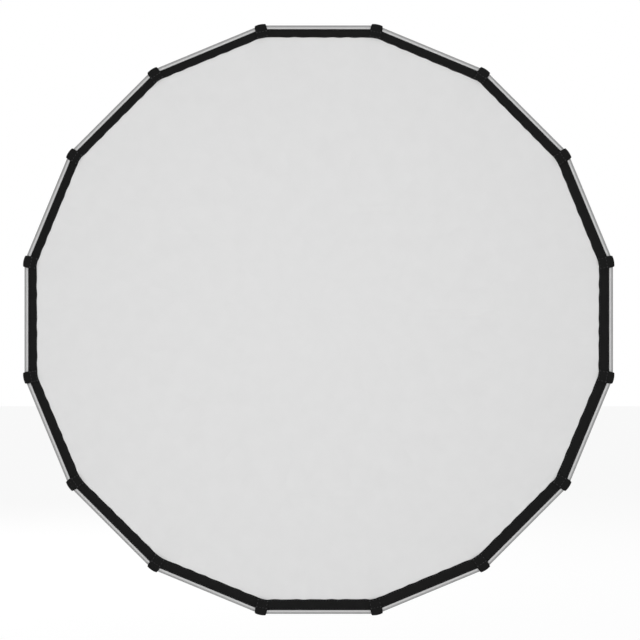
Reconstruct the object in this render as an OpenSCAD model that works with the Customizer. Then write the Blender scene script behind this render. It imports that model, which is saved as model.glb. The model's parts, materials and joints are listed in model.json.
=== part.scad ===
// Folding parabolic softbox with sixteen ribs, a fabric bowl and a front diffuser.
// Front faces -Y, +Z is up, and the origin is the centre of the lamp seat.
// Modules are drawn with the optical axis along +Z and then laid down by on_lamp().

/* [Overall] */
// Rim size from corner to opposite corner, over the piping
across_corners = 900; // [700:10:1200]
// Depth from the rib pivots to the rim plane
bowl_depth = 520; // [380:5:700]
// Number of ribs, and so of sides
rib_count = 16; // [10:1:16]

/* [Ribs] */
// Diameter of the spring steel rods
rod_d = 4; // [3:0.5:5]
// How far each rod bows outward at mid-length
rib_bow = 34; // [15:1:60]
// Length of a foot from its pivot to its mouth
foot_len = 30; // [26:1:40]
// Thickness of a foot across its arm
foot_t = 8; // [7:0.5:9]
// Width of a foot along its pin
foot_w = 7.4; // [6.5:0.1:9]
// Depth of the rod in its foot
rod_grip = 17; // [10:1:18]
// Outer diameter of the moulded tip caps
tip_d = 7; // [6.5:0.5:9]
// Length of a tip cap
tip_len = 18; // [12:1:24]

/* [Hub] */
// Radius of the circle of rib pivots
pivot_r = 84; // [84:1:95]
// Diameter of the pivot pins
pin_d = 4; // [3:0.5:5]
// How far each pin runs into the hub on each side of its slot
pin_grip = 5; // [3:0.5:6]
// Thickness of the hub floor under the feet
hub_floor = 4; // [3:0.5:8]
// Wall of the hub outside the pivot circle
hub_rim = 14; // [12:1:20]
// Thickness of the hub cover
cover_t = 8; // [6:0.5:12]
// Diameter of the small machine screws
screw_d = 3; // [2.5:0.5:4]

/* [Lamp adapter] */
// Inner radius of the adapter, where the flash tube passes
bore_r = 60; // [50:1:62]
// Wall of the spigot that enters the lamp
spigot_wall = 6; // [4:0.5:8]
// Length of the spigot behind the seat
spigot_len = 8; // [6:0.5:12]
// Height of each bayonet lug above the spigot
lug_h = 6; // [4:0.5:8]
// Thickness of a bayonet lug
lug_t = 3.5; // [2.5:0.5:4]
// Angle that each bayonet lug covers
lug_angle = 32; // [20:1:50]
// Wall of the journal that the hub turns on
journal_wall = 8; // [8:0.5:9]
// Thickness of the seat flange
flange_t = 4; // [3:0.5:6]
// How far the seat flange reaches past the journal
flange_lip = 12; // [8:0.5:14]
// Thickness of the retaining ring
retainer_t = 3; // [2:0.5:5]
// How far the retaining ring reaches past the journal
retainer_lip = 4; // [2:0.5:4]

/* [Fabric] */
// Thickness of the bowl fabric with its sleeves
shell_t = 1; // [0.8:0.1:1.5]
// Diameter of the grey piping on the rim
piping_d = 6; // [4:0.5:8]
// Width of the black border between piping and diffuser
border_w = 13.5; // [8:0.5:25]
// Thickness of the border tape
border_t = 1.2; // [1:0.1:2]
// Thickness of the diffuser cloth
cloth_t = 0.8; // [0.8:0.1:1.2]
// How far the diffuser reaches under the border
cloth_tuck = 7; // [4:0.5:12]
// Width of the webbing of a tip pocket
strap_w = 18; // [14:1:25]
// Thickness of the webbing of a tip pocket
strap_t = 1.2; // [1:0.1:2]
// Length of a tip pocket down the front of the rim
strap_front = 27; // [15:1:35]
// Length of a tip pocket down the back of the bowl
strap_back = 42; // [30:1:60]

/* [Fits] */
// Clearance between soft pieces on different bodies
soft_gap = 0.3; // [0.2:0.05:0.5]
// Radial clearance of turning fits
run_fit = 0.05; // [0.02:0.01:0.1]
// Gap on each side of a foot in its slot
slot_gap = 0.3; // [0.2:0.05:0.6]
// Radial clearance of a rod in its foot and its cap
rod_fit = 0.15; // [0.12:0.01:0.2]

/* [Hidden] */
$fn = 96;
half_pitch = 180 / rib_count;

// Lamp adapter, working forward from the seat at z = 0
spigot_r = bore_r + spigot_wall;
journal_r = bore_r + journal_wall;
flange_r = journal_r + flange_lip;
washer_t = 1;
hub_back = flange_t + washer_t + 2 * run_fit;
foot_r = foot_t / 2 + 1.5;
slot_r = foot_r + slot_gap + 0.2;
pivot_z = hub_back + hub_floor + slot_r;
journal_top = pivot_z + 2 * run_fit;
retainer_r = journal_r + retainer_lip;

// Hub
hub_r = pivot_r + hub_rim;
hub_top = pivot_z + cover_t;
cover_in_r = retainer_r + 0.5;
slot_w = foot_w + 2 * slot_gap;
screw_r = screw_d / 2;
cover_screw_r = pivot_r + hub_rim / 3;

// Rib arc in the plane of a rib: x is the radius, y is the distance forward
shell_in = tip_d / 2 + soft_gap;
shell_out = shell_in + shell_t;
rim_z = pivot_z + bowl_depth;
rod_rim_r = across_corners / 2 - piping_d / 2 - shell_out;
run = rod_rim_r - pivot_r;
chord = sqrt(run * run + bowl_depth * bowl_depth);
fold_deg = atan2(run, bowl_depth);
arc_r = (chord * chord / 4 + rib_bow * rib_bow) / (2 * rib_bow);
arc_half = asin(chord / 2 / arc_r);
arc_c = [
    pivot_r + run / 2 - (arc_r - rib_bow) * cos(fold_deg),
    pivot_z + bowl_depth / 2 + (arc_r - rib_bow) * sin(fold_deg)
];
arc_start = -fold_deg - arc_half;
arc_len = arc_r * 2 * arc_half * PI / 180;
function arc_angle(s) = arc_start + s / arc_r * 180 / PI;
function arc_pt(s, off = 0) =
    arc_c + (arc_r + off) * [cos(arc_angle(s)), sin(arc_angle(s))];
foot_angle = 90 + arc_angle(foot_len / 2);
foot_block = hub_rim / cos(foot_angle);
rod_end = arc_len - tip_d / 2 - piping_d / 2;

// Rim, as distances from the axis to the middle of a side
piping_mid = (across_corners / 2) * cos(half_pitch) - piping_d / 2;
border_out = piping_mid - piping_d / 2 - 0.2;
border_in = border_out - border_w;
border_back = rim_z + 0.4;
border_front = border_back + border_t;
cloth_out = border_in + cloth_tuck;
cloth_front = border_back - soft_gap;
piping_corner = piping_mid / cos(half_pitch);
strap_in_r = across_corners / 2 + soft_gap;
strap_foot = border_front + soft_gap;

// Bowl, from just past the hub to just behind the piping
shell_start = foot_block + 1;
shell_end = arc_len - piping_d;
shell_steps = 14;

// Lock screw, in the gap below the hub
lock_d = 5;
lock_z = (hub_back + pivot_z) / 2;
lock_insert_r = lock_d / 2 + 1.2;
lock_insert_len = 12;
knob_r = 11;
knob_h = 13;
knob_start = hub_r + 3.2;

// Detent springs, one leaf behind each foot
leaf_t = 0.5;
leaf_w = 6;
leaf_r = pivot_r - slot_r - 1.6;
nose_h = 1.6;
nose_tip_r = pivot_r - foot_r + 0.5;
notch_r = 1.2;

function two(i) = str(i < 10 ? "0" : "", i);
function rib_name(i) = str("rib_", two(i));
function gore_name(i) = str("gore_", two(i));
function sector_name(i) = str("diffuser_", two(i));

HUB_NODES = [
    "adapter_ring", "glide_washer", "retaining_ring", "retaining_screws",
    "hub_base", "hub_cover", "pivot_pins", "detent_springs", "cover_screws",
    "neck_binding", "lock_insert", "lock_screw"
];

// Lays the optical axis down so that the front faces -Y
module on_lamp() rotate([90, 0, 0]) children();

// Rib i stands at a corner of the rim, and side i runs from it to the next rib
module at_rib(i) rotate([0, 0, half_pitch * (2 * i - 1)]) children();
module at_side(i) rotate([0, 0, half_pitch * 2 * i]) children();

// Stands a drawing of radius against forward distance in the plane of a rib
module in_rib_plane(i) at_rib(i) rotate([90, 0, 0]) children();

module ring(r_in, r_out, z0, z1) {
    translate([0, 0, z0]) difference() {
        cylinder(r = r_out, h = z1 - z0);
        translate([0, 0, -1]) cylinder(r = r_in, h = z1 - z0 + 2);
    }
}

// Round holes parallel to the optical axis
module axial_holes(count, first, at_r, r, z0, z1) {
    for (k = [0:count - 1])
        rotate([0, 0, first + k * 360 / count])
            translate([at_r, 0, z0])
                cylinder(r = r, h = z1 - z0);
}

// Pan head machine screws, seated at z_seat and running back for len
module screws(count, first, at_r, z_seat, len) {
    for (k = [0:count - 1])
        rotate([0, 0, first + k * 360 / count])
            translate([at_r, 0, z_seat]) difference() {
                union() {
                    translate([0, 0, -len]) cylinder(r = screw_r, h = len);
                    cylinder(r = screw_r * 1.85, h = screw_d * 0.7);
                }
                for (a = [0, 90])
                    rotate([0, 0, a])
                        translate([-screw_r, -0.4, screw_d * 0.3])
                            cube([screw_d, 0.8, screw_d]);
            }
}

module adapter_ring() {
    color("silver") on_lamp() {
        difference() {
            union() {
                translate([0, 0, -spigot_len]) cylinder(r = spigot_r, h = spigot_len + 1);
                cylinder(r = flange_r, h = flange_t);
                cylinder(r = journal_r, h = journal_top);
                for (k = [0:2])
                    rotate([0, 0, 90 - lug_angle / 2 + 120 * k])
                        translate([0, 0, -spigot_len])
                            rotate_extrude(angle = lug_angle)
                                translate([spigot_r - 1, 0])
                                    square([lug_h + 1, lug_t]);
            }
            translate([0, 0, -spigot_len - 1])
                cylinder(r = bore_r, h = spigot_len + journal_top + 2);
            axial_holes(
                6, 30, (bore_r + journal_r) / 2, screw_r + run_fit,
                journal_top - 9, journal_top + 1
            );
        }
    }
}

module glide_washer() {
    color("ivory") on_lamp()
        ring(journal_r + run_fit, flange_r - 1, flange_t, flange_t + washer_t);
}

module retaining_ring() {
    color("silver") on_lamp() difference() {
        ring(bore_r, retainer_r, journal_top, journal_top + retainer_t);
        axial_holes(
            6, 30, (bore_r + journal_r) / 2, screw_r + run_fit,
            journal_top - 1, journal_top + retainer_t + 1
        );
    }
}

module retaining_screws() {
    color("dimgray") on_lamp()
        screws(
            6, 30, (bore_r + journal_r) / 2,
            journal_top + retainer_t, retainer_t + 8
        );
}

// Room for a foot over its whole swing, with a ramp that it rests on when open
module slot_cutter(i) {
    floor_start = [pivot_r, pivot_z]
        + (foot_t / 2 + slot_gap) * [sin(foot_angle), -cos(foot_angle)];
    floor_end = floor_start
        + (foot_len + 20) * [cos(foot_angle), sin(foot_angle)];
    high = hub_top + foot_len;
    wall_r = pivot_r - slot_r - slot_gap;
    in_rib_plane(i) translate([0, 0, -slot_w / 2]) {
        translate([pivot_r, pivot_z]) cylinder(r = slot_r, h = slot_w);
        linear_extrude(slot_w)
            polygon([
                floor_start, floor_end, [floor_end.x, high], [wall_r, high],
                [wall_r, pivot_z - slot_r / 2], [pivot_r, pivot_z - slot_r / 2]
            ]);
    }
    // Pocket for the leaf spring
    in_rib_plane(i)
        translate([leaf_r - 0.3, hub_back + hub_floor / 2, -leaf_w / 2 - 0.2])
            cube([pivot_r - slot_r - leaf_r + 1, high, leaf_w + 0.4]);
}

module pin_cutters() {
    for (i = [1:rib_count])
        in_rib_plane(i)
            translate([pivot_r, pivot_z, -slot_w / 2 - pin_grip - 0.1])
                cylinder(r = pin_d / 2 + 0.01, h = slot_w + 2 * pin_grip + 0.2);
}

module hub_base() {
    color([0.1, 0.1, 0.1]) on_lamp() difference() {
        ring(journal_r + run_fit, hub_r, hub_back, pivot_z);
        for (i = [1:rib_count]) slot_cutter(i);
        pin_cutters();
        axial_holes(
            rib_count / 2, 2 * half_pitch, cover_screw_r,
            screw_r + run_fit, pivot_z - 7, pivot_z + 1
        );
        rotate([0, 0, 270]) translate([0, 0, lock_z]) rotate([0, 90, 0]) {
            cylinder(r = lock_d / 2 + 0.5, h = hub_r + 1);
            translate([0, 0, hub_r - lock_insert_len])
                cylinder(r = lock_insert_r + run_fit, h = lock_insert_len + 1);
        }
    }
}

module hub_cover() {
    color([0.12, 0.12, 0.12]) on_lamp() difference() {
        ring(cover_in_r, hub_r, pivot_z, hub_top);
        for (i = [1:rib_count]) slot_cutter(i);
        pin_cutters();
        axial_holes(
            rib_count / 2, 2 * half_pitch, cover_screw_r,
            screw_r + run_fit, pivot_z - 1, hub_top + 1
        );
    }
}

module pivot_pins() {
    color("silver") on_lamp()
        for (i = [1:rib_count])
            in_rib_plane(i)
                translate([pivot_r, pivot_z, -slot_w / 2 - pin_grip])
                    cylinder(r = pin_d / 2, h = slot_w + 2 * pin_grip);
}

module detent_springs() {
    leaf_back = hub_back + hub_floor / 2;
    color("lightsteelblue") on_lamp()
        for (i = [1:rib_count])
            in_rib_plane(i) translate([0, 0, -leaf_w / 2])
                linear_extrude(leaf_w)
                    polygon([
                        [leaf_r, leaf_back], [leaf_r + leaf_t, leaf_back],
                        [leaf_r + leaf_t, pivot_z - nose_h], [nose_tip_r, pivot_z],
                        [leaf_r + leaf_t, pivot_z + nose_h],
                        [leaf_r + leaf_t, pivot_z + foot_t / 2],
                        [leaf_r, pivot_z + foot_t / 2]
                    ]);
}

module cover_screws() {
    color("dimgray") on_lamp()
        screws(rib_count / 2, 2 * half_pitch, cover_screw_r, hub_top, cover_t + 6);
}

// Hemmed neck of the bowl, strapped round the hub
module neck_binding() {
    color([0.08, 0.08, 0.08]) on_lamp()
        ring(hub_r + soft_gap, hub_r + soft_gap + 1.2, lock_z + knob_r / 2, hub_top - 2);
}

module lock_insert() {
    color("gold") on_lamp()
        rotate([0, 0, 270]) translate([0, 0, lock_z]) rotate([0, 90, 0])
            translate([0, 0, hub_r - lock_insert_len]) difference() {
                cylinder(r = lock_insert_r, h = lock_insert_len);
                translate([0, 0, -1])
                    cylinder(r = lock_d / 2 + run_fit, h = lock_insert_len + 2);
            }
}

// Thumb screw whose tip presses on the journal
module lock_screw() {
    flutes = 12;
    color([0.15, 0.15, 0.15]) on_lamp()
        rotate([0, 0, 270]) translate([0, 0, lock_z]) rotate([0, 90, 0]) {
            translate([0, 0, journal_r + soft_gap])
                cylinder(r = lock_d / 2, h = knob_start - journal_r);
            translate([0, 0, knob_start]) difference() {
                union() {
                    cylinder(r = knob_r, h = knob_h);
                    translate([0, 0, -1.6]) cylinder(r = knob_r - 3, h = 1.7);
                }
                for (k = [0:flutes - 1])
                    rotate([0, 0, k * 360 / flutes])
                        translate([knob_r + 0.6, 0, 1.5]) cylinder(r = 1.6, h = knob_h);
            }
        }
}

// Rod, moulded foot, tip cap and the webbing pocket that holds the tip, as four solids
module rib(i) {
    color([0.45, 0.46, 0.48]) on_lamp() in_rib_plane(i) rod();
    color([0.1, 0.1, 0.1]) on_lamp() in_rib_plane(i) foot();
    color([0.1, 0.1, 0.1]) on_lamp() in_rib_plane(i) tip_cap();
    color([0.1, 0.1, 0.1]) on_lamp() in_rib_plane(i) tip_pocket();
}

// A rod between two distances along its arc
module arc_rod(s0, s1, r) {
    translate([arc_c.x, arc_c.y, 0])
        rotate([0, 0, arc_angle(s0)])
            rotate_extrude(angle = arc_angle(s1) - arc_angle(s0), $fn = 720)
                translate([arc_r, 0]) circle(r = r, $fn = 32);
}

module rod() arc_rod(foot_len - rod_grip, rod_end, rod_d / 2);

// A block in the hub's slot, then a round ferrule that the bowl clears
module foot() {
    translate([pivot_r, pivot_z, 0]) rotate([0, 0, foot_angle]) difference() {
        union() {
            translate([0, 0, -foot_w / 2]) linear_extrude(foot_w) {
                circle(r = foot_r);
                translate([0, -foot_t / 2]) square([foot_block, foot_t]);
            }
            rotate([0, 90, 0]) cylinder(r = tip_d / 2 - run_fit, h = foot_len);
        }
        translate([0, 0, -foot_w]) cylinder(r = pin_d / 2 + run_fit, h = 2 * foot_w);
        rotate([0, 0, -foot_angle])
            translate([-foot_r - 0.3, 0, -foot_w]) cylinder(r = notch_r, h = 2 * foot_w);
        rotate([0, 90, 0]) translate([0, 0, foot_len - rod_grip - 1])
            cylinder(r = rod_d / 2 + rod_fit, h = rod_grip + 2);
    }
}

module tip_cap() {
    r = tip_d / 2;
    hole = rod_d / 2 + rod_fit;
    base = arc_pt(rod_end - tip_len + r);
    dir = 90 + arc_angle(rod_end - tip_len / 2);
    straight = tip_len - r;
    translate([base.x, base.y, 0]) rotate([0, 0, dir]) rotate([0, 90, 0])
        rotate_extrude() difference() {
            union() {
                square([r, straight]);
                intersection() {
                    translate([0, straight]) circle(r = r);
                    square([r, straight + r]);
                }
            }
            translate([-1, -1]) square([hole + 1, straight + 1 + soft_gap]);
        }
}

// Half the width of a side at a distance n from the axis, short of the rib's plane
function half_side(n) = n * tan(half_pitch) - soft_gap / 2 / cos(half_pitch);

// The wedge of space between two ribs, with its middle along +X
module side_wedge() {
    far = across_corners;
    translate([0, 0, -far]) linear_extrude(3 * far)
        polygon([
            [soft_gap / 2 / sin(half_pitch), 0],
            [far, half_side(far)], [far, -half_side(far)]
        ]);
}

// A flat bar of cloth along a side, between two distances from the axis
module side_bar(inner, outer, z0, z1) {
    translate([0, 0, z0]) linear_extrude(z1 - z0)
        polygon([
            [inner, half_side(inner)], [inner, -half_side(inner)],
            [outer, -half_side(outer)], [outer, half_side(outer)]
        ]);
}

// A gore of the bowl: curved along the ribs and straight from rib to rib
module gore_cloth() {
    c = cos(half_pitch);
    steps = [
        for (k = [0:shell_steps]) shell_start + (shell_end - shell_start) * k / shell_steps
    ];
    inner = [for (s = steps) arc_pt(s, shell_in)];
    outer = [for (k = [shell_steps:-1:0]) arc_pt(steps[k], shell_out)];
    outline = [for (p = concat(inner, outer)) [p.x * c, p.y]];
    intersection() {
        rotate([90, 0, 0])
            linear_extrude(across_corners / 2, center = true) polygon(outline);
        side_wedge();
    }
}

module piping() {
    intersection() {
        translate([piping_mid, 0, rim_z]) rotate([90, 0, 0])
            cylinder(r = piping_d / 2, h = across_corners / 2, center = true);
        side_wedge();
    }
}

// Webbing that is folded over the piping to hold the rod's tip
module tip_pocket() {
    gap = shell_out + soft_gap;
    over = piping_d / 2 + soft_gap;
    // How much nearer the axis the piping lies under the strap's edges than at the corner
    sag = strap_w / 2 * tan(half_pitch);
    front_end = strap_in_r + strap_t - strap_front;
    back = [for (k = [0:3]) arc_len - piping_d - strap_back * k / 3];
    inside = concat(
        [[front_end, strap_foot], [piping_corner - over - sag - 1, strap_foot],
         [piping_corner - over / 2 - sag, rim_z + over],
         [piping_corner + over / 2, rim_z + over],
         [strap_in_r, rim_z + over / 3], [strap_in_r, rim_z - over / 3]],
        [for (s = back) arc_pt(s, gap)]
    );
    outside = concat(
        [for (k = [3:-1:0]) arc_pt(back[k], gap + strap_t)],
        [[strap_in_r + strap_t, rim_z - over / 3], [strap_in_r + strap_t, rim_z + over / 3],
         [piping_corner + over / 2 + strap_t / 2, rim_z + over + strap_t],
         [piping_corner - over / 2 - sag - strap_t / 2, rim_z + over + strap_t],
         [piping_corner - over - sag - 1 - strap_t / 2, strap_foot + strap_t],
         [front_end, strap_foot + strap_t]]
    );
    linear_extrude(strap_w, center = true) polygon(concat(inside, outside));
}

// One gore of the bowl with its side of the border and of the piping
module gore(i) {
    color([0.13, 0.13, 0.13]) on_lamp() at_side(i) gore_cloth();
    color([0.1, 0.1, 0.1]) on_lamp() at_side(i)
        side_bar(border_in, border_out, border_back, border_front);
    color([0.72, 0.72, 0.72]) on_lamp() at_side(i) piping();
}

// One sixteenth of the front diffuser, from the middle to under a side of the border
module diffuser_sector(i) {
    color([0.94, 0.94, 0.94]) on_lamp() at_side(i)
        translate([0, 0, cloth_front - cloth_t]) linear_extrude(cloth_t)
            polygon([
                [soft_gap / 2 / sin(half_pitch), 0],
                [cloth_out, -half_side(cloth_out)], [cloth_out, half_side(cloth_out)]
            ]);
}

adapter_ring();
glide_washer();
retaining_ring();
retaining_screws();
hub_base();
hub_cover();
pivot_pins();
detent_springs();
cover_screws();
neck_binding();
lock_insert();
lock_screw();
for (i = [1:rib_count]) {
    rib(i);
    gore(i);
    diffuser_sector(i);
}
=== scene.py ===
"""A folding parabolic softbox of sixteen ribs, put together from the lamp adapter forward."""
import json
import math

import bmesh
import bpy
import numpy as np
from mathutils import Matrix, Vector

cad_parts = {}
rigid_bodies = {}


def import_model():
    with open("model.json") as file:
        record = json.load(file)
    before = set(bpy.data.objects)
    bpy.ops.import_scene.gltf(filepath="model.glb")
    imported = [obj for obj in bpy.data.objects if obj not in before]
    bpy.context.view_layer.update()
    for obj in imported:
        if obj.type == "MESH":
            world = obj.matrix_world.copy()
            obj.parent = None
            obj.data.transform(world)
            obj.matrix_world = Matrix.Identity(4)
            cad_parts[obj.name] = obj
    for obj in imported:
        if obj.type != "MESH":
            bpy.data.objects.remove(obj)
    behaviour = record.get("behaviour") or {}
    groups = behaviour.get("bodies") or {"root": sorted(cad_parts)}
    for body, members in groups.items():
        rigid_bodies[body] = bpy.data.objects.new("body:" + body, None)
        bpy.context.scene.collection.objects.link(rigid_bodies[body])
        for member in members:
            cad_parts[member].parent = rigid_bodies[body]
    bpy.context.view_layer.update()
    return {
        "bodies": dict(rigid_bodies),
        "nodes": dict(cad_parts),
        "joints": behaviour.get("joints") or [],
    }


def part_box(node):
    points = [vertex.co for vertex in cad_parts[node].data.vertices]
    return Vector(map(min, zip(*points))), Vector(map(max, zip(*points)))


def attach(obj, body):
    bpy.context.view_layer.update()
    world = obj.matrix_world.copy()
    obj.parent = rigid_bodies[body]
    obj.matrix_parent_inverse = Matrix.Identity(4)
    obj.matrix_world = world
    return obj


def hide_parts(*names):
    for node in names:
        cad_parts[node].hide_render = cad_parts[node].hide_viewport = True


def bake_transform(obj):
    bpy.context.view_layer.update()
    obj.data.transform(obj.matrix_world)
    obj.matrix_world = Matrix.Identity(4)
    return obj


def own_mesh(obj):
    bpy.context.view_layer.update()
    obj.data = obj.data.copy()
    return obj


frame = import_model()

# ---------------------------------------------------------------------------------------------
# Camera: straight in front of the diffuser, far enough back that the sides of the bowl are hidden
# behind the rim, with the rim filling most of the frame.
rim_z = -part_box("diffuser_01")[0].y
view_width = 0.960
camera_gap = 4.0
camera_data = bpy.data.cameras.new("front_camera")
camera_data.sensor_width = 36
camera_data.lens = camera_data.sensor_width * camera_gap / view_width
camera = bpy.data.objects.new("front_camera", camera_data)
camera.location = (0.0019, -(rim_z + camera_gap), -0.0005)
camera.rotation_euler = (math.radians(90), 0, 0)
bpy.context.scene.collection.objects.link(camera)
bpy.context.scene.camera = camera
bpy.context.scene.view_settings.view_transform = "Standard"

# ---------------------------------------------------------------------------------------------
# Lamp adapter: a turned aluminium ring with a bayonet spigot, and the retaining ring that holds
# the hub on it. Both are skimmed on a lathe, so fine rings run round the axis and catch the light.


def linear(colour):
    """The linear colour of an sRGB hex code."""
    parts = [int(colour[k:k + 2], 16) / 255 for k in (1, 3, 5)]
    return [c / 12.92 if c <= 0.04045 else ((c + 0.055) / 1.055) ** 2.4 for c in parts] + [1]


def add(tree, kind, inputs=None, **settings):
    """Adds a node, sets it up, and gives its inputs their values or links."""
    node = tree.nodes.new(kind)
    for name, value in settings.items():
        setattr(node, name, value)
    for name, value in (inputs or {}).items():
        if isinstance(value, bpy.types.NodeSocket):
            tree.links.new(value, node.inputs[name])
        else:
            node.inputs[name].default_value = value
    return node


def finish_of(name, colour, roughness, **sockets):
    """A new material with a principled shader, and its node tree and shader."""
    material = bpy.data.materials.new(name)
    material.use_nodes = True
    tree = material.node_tree
    shader = tree.nodes["Principled BSDF"]
    values = {"Base Color": linear(colour), "Roughness": roughness, **sockets}
    for socket, value in values.items():
        shader.inputs[socket].default_value = value
    return material, tree, shader


def dress(nodes, material):
    """Gives CAD nodes a finish."""
    for name in nodes:
        node = frame["nodes"][name]
        node.data.materials.clear()
        node.data.materials.append(material)


# A wave texture with a scale of WAVE / pitch repeats once in each pitch
WAVE = math.pi / 10

# A lathe's feed marks are taken to be some 0.2 mm apart, an estimate: drawn coarser, to show close up
turning_pitch = 0.0009
turned_alloy, tree, shader = finish_of("turned_aluminium", "#C4C6C8", 0.32, Metallic=1.0)
place = add(tree, "ShaderNodeTexCoord").outputs["Object"]
rings = add(
    tree, "ShaderNodeTexWave", {"Vector": place, "Scale": WAVE / turning_pitch, "Distortion": 0.4},
    wave_type="RINGS", rings_direction="Y",
)
smudges = add(tree, "ShaderNodeTexNoise", {"Vector": place, "Scale": 1 / 0.02, "Detail": 4.0})
worn = add(
    tree, "ShaderNodeMapRange",
    {"Value": smudges.outputs["Fac"], "From Min": 0.3, "From Max": 0.7, "To Min": 0.26, "To Max": 0.42},
)
relief = add(tree, "ShaderNodeBump", {"Height": rings.outputs["Fac"], "Strength": 0.12, "Distance": 0.0001})
tree.links.new(worn.outputs["Result"], shader.inputs["Roughness"])
tree.links.new(relief.outputs["Normal"], shader.inputs["Normal"])
dress(["adapter_ring", "retaining_ring"], turned_alloy)

# ---------------------------------------------------------------------------------------------
# Glide washer: a flat ring of natural nylon between the adapter's flange and the hub. Bare nylon
# is slightly yellow, waxy and uneven.
natural_nylon, tree, shader = finish_of(
    "natural_nylon", "#E6E3DA", 0.42, IOR=1.53,
    **{"Subsurface Weight": 0.15, "Subsurface Radius": (0.002, 0.002, 0.001)},
)
place = add(tree, "ShaderNodeTexCoord").outputs["Object"]
haze = add(tree, "ShaderNodeTexNoise", {"Vector": place, "Scale": 1 / 0.006, "Detail": 3.0})
tint = add(tree, "ShaderNodeMix", {
    "Factor": haze.outputs["Fac"], "A": linear("#EBE8E0"), "B": linear("#DEDACE"),
}, data_type="RGBA")
tree.links.new(tint.outputs["Result"], shader.inputs["Base Color"])
dress(["glide_washer"], natural_nylon)

# ---------------------------------------------------------------------------------------------
# Screws: small pan heads of blackened steel. The oxide is thin, so it is dark, slightly blue and
# half glossy.
black_oxide, tree, shader = finish_of("black_oxide_steel", "#2A2B2D", 0.4, Metallic=0.85)
place = add(tree, "ShaderNodeTexCoord").outputs["Object"]
blotches = add(tree, "ShaderNodeTexNoise", {"Vector": place, "Scale": 1 / 0.0015, "Detail": 5.0})
worn = add(
    tree, "ShaderNodeMapRange",
    {"Value": blotches.outputs["Fac"], "From Min": 0.3, "From Max": 0.7, "To Min": 0.3, "To Max": 0.5},
)
tree.links.new(worn.outputs["Result"], shader.inputs["Roughness"])
dress(["retaining_screws", "cover_screws"], black_oxide)

# ---------------------------------------------------------------------------------------------
# Hub: base and cover are moulded in black glass-filled nylon, which leaves the tool with a fine
# spark-eroded grain and a low sheen. The lock screw's fluted knob is the same.
grain_size = 0.0007
glass_nylon, tree, shader = finish_of(
    "glass_filled_nylon", "#141415", 0.5, IOR=1.53, **{"Specular IOR Level": 0.3}
)
place = add(tree, "ShaderNodeTexCoord").outputs["Object"]
grain = add(tree, "ShaderNodeTexNoise", {"Vector": place, "Scale": 1 / grain_size, "Detail": 3.0})
clouds = add(tree, "ShaderNodeTexNoise", {"Vector": place, "Scale": 1 / 0.03, "Detail": 4.0})
worn = add(
    tree, "ShaderNodeMapRange",
    {"Value": clouds.outputs["Fac"], "From Min": 0.3, "From Max": 0.7, "To Min": 0.44, "To Max": 0.6},
)
tint = add(tree, "ShaderNodeMix", {
    "Factor": clouds.outputs["Fac"], "A": linear("#111112"), "B": linear("#181819"),
}, data_type="RGBA")
relief = add(tree, "ShaderNodeBump", {"Height": grain.outputs["Fac"], "Strength": 0.25, "Distance": 0.0001})
tree.links.new(tint.outputs["Result"], shader.inputs["Base Color"])
tree.links.new(worn.outputs["Result"], shader.inputs["Roughness"])
tree.links.new(relief.outputs["Normal"], shader.inputs["Normal"])
dress(["hub_base", "hub_cover"], glass_nylon)
dress(["lock_screw"], glass_nylon)

# ---------------------------------------------------------------------------------------------
# Pivot pins, detent leaves and the lock screw's insert: centreless-ground steel pins, rolled
# spring strip with a faint blue, and a turned brass insert.
small_metals = [
    ("ground_steel", "#B8BABC", 0.25, ["pivot_pins"], "pin_steel"),
    ("rolled_spring_strip", "#9AA0A8", 0.3, ["detent_springs"], "spring_steel"),
    ("turned_brass", "#C9A24B", 0.28, ["lock_insert"], "brass"),
]
for name, colour, roughness, nodes, slot in small_metals:
    metal, tree, shader = finish_of(name, colour, roughness, Metallic=1.0)
    place = add(tree, "ShaderNodeTexCoord").outputs["Object"]
    scratches = add(tree, "ShaderNodeTexNoise", {"Vector": place, "Scale": 1 / 0.0008, "Detail": 4.0})
    worn = add(
        tree, "ShaderNodeMapRange",
        {"Value": scratches.outputs["Fac"], "From Min": 0.3, "From Max": 0.7,
         "To Min": roughness - 0.06, "To Max": roughness + 0.08},
    )
    tree.links.new(worn.outputs["Result"], shader.inputs["Roughness"])
    dress(nodes, metal)

# ---------------------------------------------------------------------------------------------
# Rib hardware: a drawn spring steel rod, pressed into a moulded foot that turns on its pin, with
# a moulded cap on the tip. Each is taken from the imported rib, so that it fits its slot and pin.
rib_total = sum(name.startswith("rib_") for name in frame["bodies"])
half_pitch = math.pi / rib_total
numbers = [f"{k:02d}" for k in range(1, rib_total + 1)]


def rib_azimuth(k):
    """Azimuth of the rib with index k, which stands at a corner of the rim."""
    return half_pitch * (2 * k + 1)


def side_azimuth(k):
    """Azimuth of the side with index k, which runs from rib k to the next rib."""
    return half_pitch * (2 * k + 2)


def standing(azimuth):
    """Takes (outward, sideways, forward) at an azimuth into the frame."""
    c, s = math.cos(azimuth), math.sin(azimuth)
    return Matrix(((c, -s, 0, 0), (0, 0, -1, 0), (s, c, 0, 0), (0, 0, 0, 1)))


def side_direction(k):
    """Direction in which the side with index k runs."""
    return standing(side_azimuth(k)).to_3x3() @ Vector((0, 1, 0))


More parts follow.
